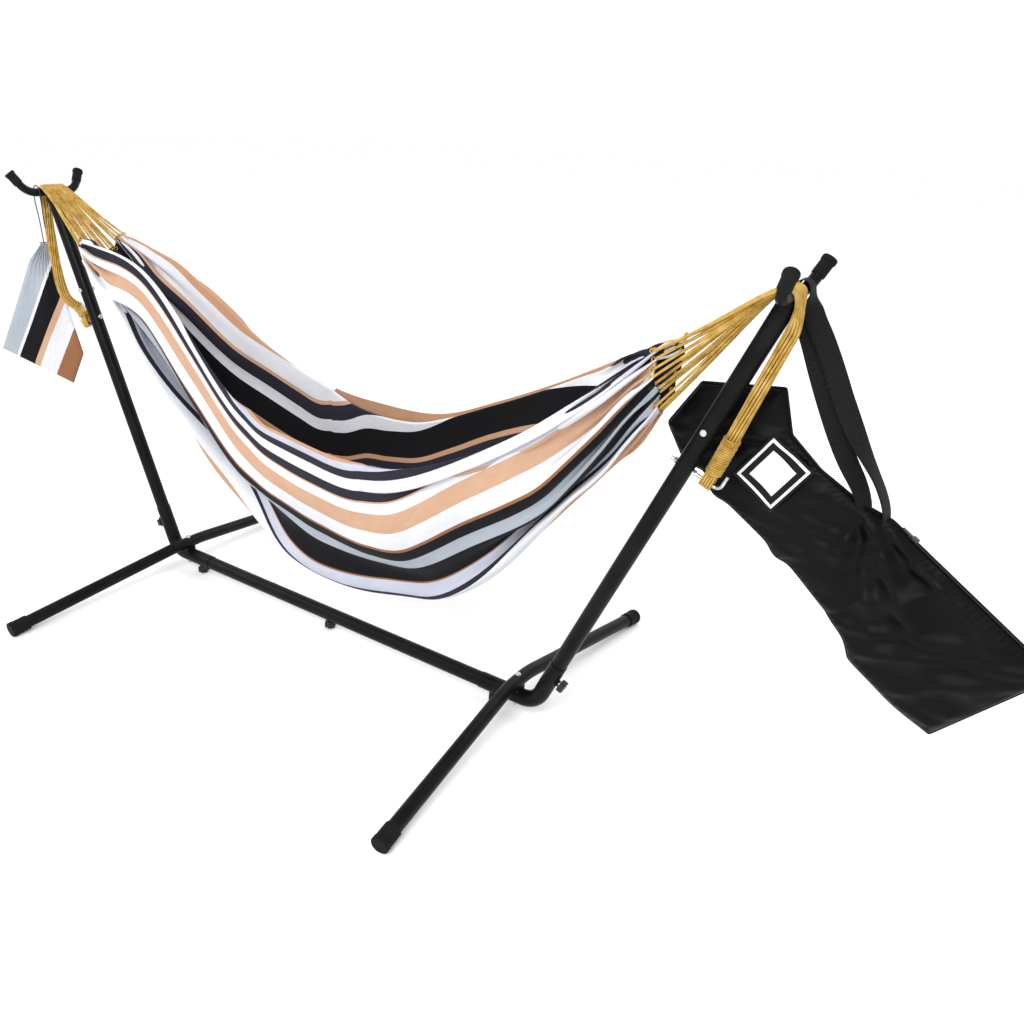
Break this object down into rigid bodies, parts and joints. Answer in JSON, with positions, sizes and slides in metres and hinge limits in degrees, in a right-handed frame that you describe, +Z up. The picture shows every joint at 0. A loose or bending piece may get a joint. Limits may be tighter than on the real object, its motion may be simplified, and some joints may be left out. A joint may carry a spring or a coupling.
{
  "type": "hammock on stand",
  "caption": "Striped cotton hammock hung by fans of cord from a black steel tube stand with horned tops, with a flat carry bag and a small striped pouch hanging from the horns.",
  "frame": {"origin": "bottom centre of the whole object's box; the stand's own middle is 167.3 mm towards -X, because the carry bag reaches further out than the pouch", "axes": "+X along the base beam towards the end with the carry bag, +Y towards the side on which the bag hangs, +Z up"},
  "size_m": [3.1042, 1.2214, 1.2111],
  "materials": {
    "frame_paint": "satin black powder coat",
    "rubber_black": "matt black rubber",
    "knob_plastic": "black moulded plastic",
    "zinc_steel": "bright zinc plate",
    "gold_cord": "twisted gold cotton cord",
    "striped_cotton": "woven cotton canvas in lengthwise stripes of tan, white, navy, black and grey",
    "pouch_cotton": "the same striped cotton canvas",
    "dark_cord": "dark braided cord",
    "bag_nylon": "black coated nylon",
    "strap_webbing": "black woven webbing",
    "zip_tape": "black zip tape with a coil",
    "zip_metal": "black enamelled slider",
    "label_woven": "plain pale woven patch"
  },
  "bodies": {
    "root": {"beam_left": "frame_paint", "beam_right": "frame_paint", "beam_sleeve": "frame_paint", "weld_nuts": "frame_paint", "leg_bolts": "zinc_steel", "splice_bolts": "zinc_steel", "hex_nuts": "zinc_steel", "elbow_left": "frame_paint", "cross_leg_left": "frame_paint", "leg_saddle_left": "frame_paint", "foot_cap_left_front": "rubber_black", "foot_cap_left_rear": "rubber_black", "upright_lower_left": "frame_paint", "upright_upper_left": "frame_paint", "yoke_left": "frame_paint", "horn_cap_left_front": "rubber_black", "horn_cap_left_rear": "rubber_black", "loop_hook_left": "zinc_steel", "end_loop_left": "gold_cord", "loop_whipping_left": "gold_cord", "saddle_band_left": "gold_cord", "elbow_right": "frame_paint", "cross_leg_right": "frame_paint", "leg_saddle_right": "frame_paint", "foot_cap_right_front": "rubber_black", "foot_cap_right_rear": "rubber_black", "upright_lower_right": "frame_paint", "upright_upper_right": "frame_paint", "yoke_right": "frame_paint", "horn_cap_right_front": "rubber_black", "horn_cap_right_rear": "rubber_black", "loop_hook_right": "zinc_steel", "end_loop_right": "gold_cord", "loop_whipping_right": "gold_cord", "saddle_band_right": "gold_cord"},
    "hammock": {"hammock_bed": "striped_cotton", "fan_cords_left": "gold_cord", "fan_cords_right": "gold_cord"},
    "bag": {"carry_bag": "bag_nylon", "bag_strap": "strap_webbing", "bag_zip": "zip_tape", "bag_label": "label_woven"},
    "zip": {"zip_slider": "zip_metal"},
    "pouch": {"storage_pouch": "pouch_cotton", "pouch_drawstring": "dark_cord"},
    "washer_beam_left": {"washer_beam_left": "zinc_steel"},
    "knob_beam_left": {"knob_beam_left": "knob_plastic", "stud_beam_left": "zinc_steel"},
    "washer_beam_middle": {"washer_beam_middle": "zinc_steel"},
    "knob_beam_middle": {"knob_beam_middle": "knob_plastic", "stud_beam_middle": "zinc_steel"},
    "washer_beam_right": {"washer_beam_right": "zinc_steel"},
    "knob_beam_right": {"knob_beam_right": "knob_plastic", "stud_beam_right": "zinc_steel"},
    "washer_upright_left": {"washer_upright_left": "zinc_steel"},
    "knob_upright_left": {"knob_upright_left": "knob_plastic", "stud_upright_left": "zinc_steel"},
    "washer_upright_right": {"washer_upright_right": "zinc_steel"},
    "knob_upright_right": {"knob_upright_right": "knob_plastic", "stud_upright_right": "zinc_steel"}
  },
  "joints": [
    {"name": "beam_left_knob_travel", "type": "slide", "parent": "root", "child": "washer_beam_left", "axis": [0, 0, -1], "range_m": [0, 0.0025]},
    {"name": "beam_left_knob_turn", "type": "hinge", "parent": "washer_beam_left", "child": "knob_beam_left", "pos_m": [-0.74131, 0, 0.046], "axis": [0, 0, 1], "range_deg": [0, 721]},
    {"name": "beam_middle_knob_travel", "type": "slide", "parent": "root", "child": "washer_beam_middle", "axis": [0, 0, -1], "range_m": [0, 0.0025]},
    {"name": "beam_middle_knob_turn", "type": "hinge", "parent": "washer_beam_middle", "child": "knob_beam_middle", "pos_m": [-0.17931, 0, 0.046], "axis": [0, 0, 1], "range_deg": [0, 721]},
    {"name": "beam_right_knob_travel", "type": "slide", "parent": "root", "child": "washer_beam_right", "axis": [0, 0, -1], "range_m": [0, 0.0025]},
    {"name": "beam_right_knob_turn", "type": "hinge", "parent": "washer_beam_right", "child": "knob_beam_right", "pos_m": [0.40669, 0, 0.046], "axis": [0, 0, 1], "range_deg": [0, 721]},
    {"name": "upright_left_knob_travel", "type": "slide", "parent": "root", "child": "washer_upright_left", "axis": [-0.9219, 0, -0.3875], "range_m": [0, 0.0025]},
    {"name": "upright_left_knob_turn", "type": "hinge", "parent": "washer_upright_left", "child": "knob_upright_left", "pos_m": [-0.90306, 0, 0.13819], "axis": [0.9219, 0, 0.3875], "range_deg": [0, 721]},
    {"name": "upright_right_knob_travel", "type": "slide", "parent": "root", "child": "washer_upright_right", "axis": [0.9219, 0, -0.3875], "range_m": [0, 0.0025]},
    {"name": "upright_right_knob_turn", "type": "hinge", "parent": "washer_upright_right", "child": "knob_upright_right", "pos_m": [0.56844, 0, 0.13819], "axis": [-0.9219, 0, 0.3875], "range_deg": [0, 721]},
    {"name": "hammock_swing", "type": "hinge", "parent": "root", "child": "hammock", "pos_m": [-0.16731, 0, 1.15686], "axis": [1, 0, 0], "range_deg": [-20, 20]},
    {"name": "bag_swing", "type": "hinge", "parent": "root", "child": "bag", "pos_m": [0.99277, 0.066, 1.14763], "axis": [0, 1, 0], "range_deg": [-30, 0]},
    {"name": "pouch_swing", "type": "hinge", "parent": "root", "child": "pouch", "pos_m": [-1.32623, -0.05, 1.14486], "axis": [0, 1, 0], "range_deg": [0, 30]},
    {"name": "zip_travel", "type": "slide", "parent": "bag", "child": "zip", "axis": [0.8321, 0, -0.5547], "range_m": [0, 0.3]}
  ],
  "couplings": [
    {"joint": "beam_left_knob_turn", "follows": "beam_left_knob_travel", "rad_per_m": 5026.5},
    {"joint": "beam_middle_knob_turn", "follows": "beam_middle_knob_travel", "rad_per_m": 5026.5},
    {"joint": "beam_right_knob_turn", "follows": "beam_right_knob_travel", "rad_per_m": 5026.5},
    {"joint": "upright_left_knob_turn", "follows": "upright_left_knob_travel", "rad_per_m": 5026.5},
    {"joint": "upright_right_knob_turn", "follows": "upright_right_knob_travel", "rad_per_m": 5026.5}
  ]
}
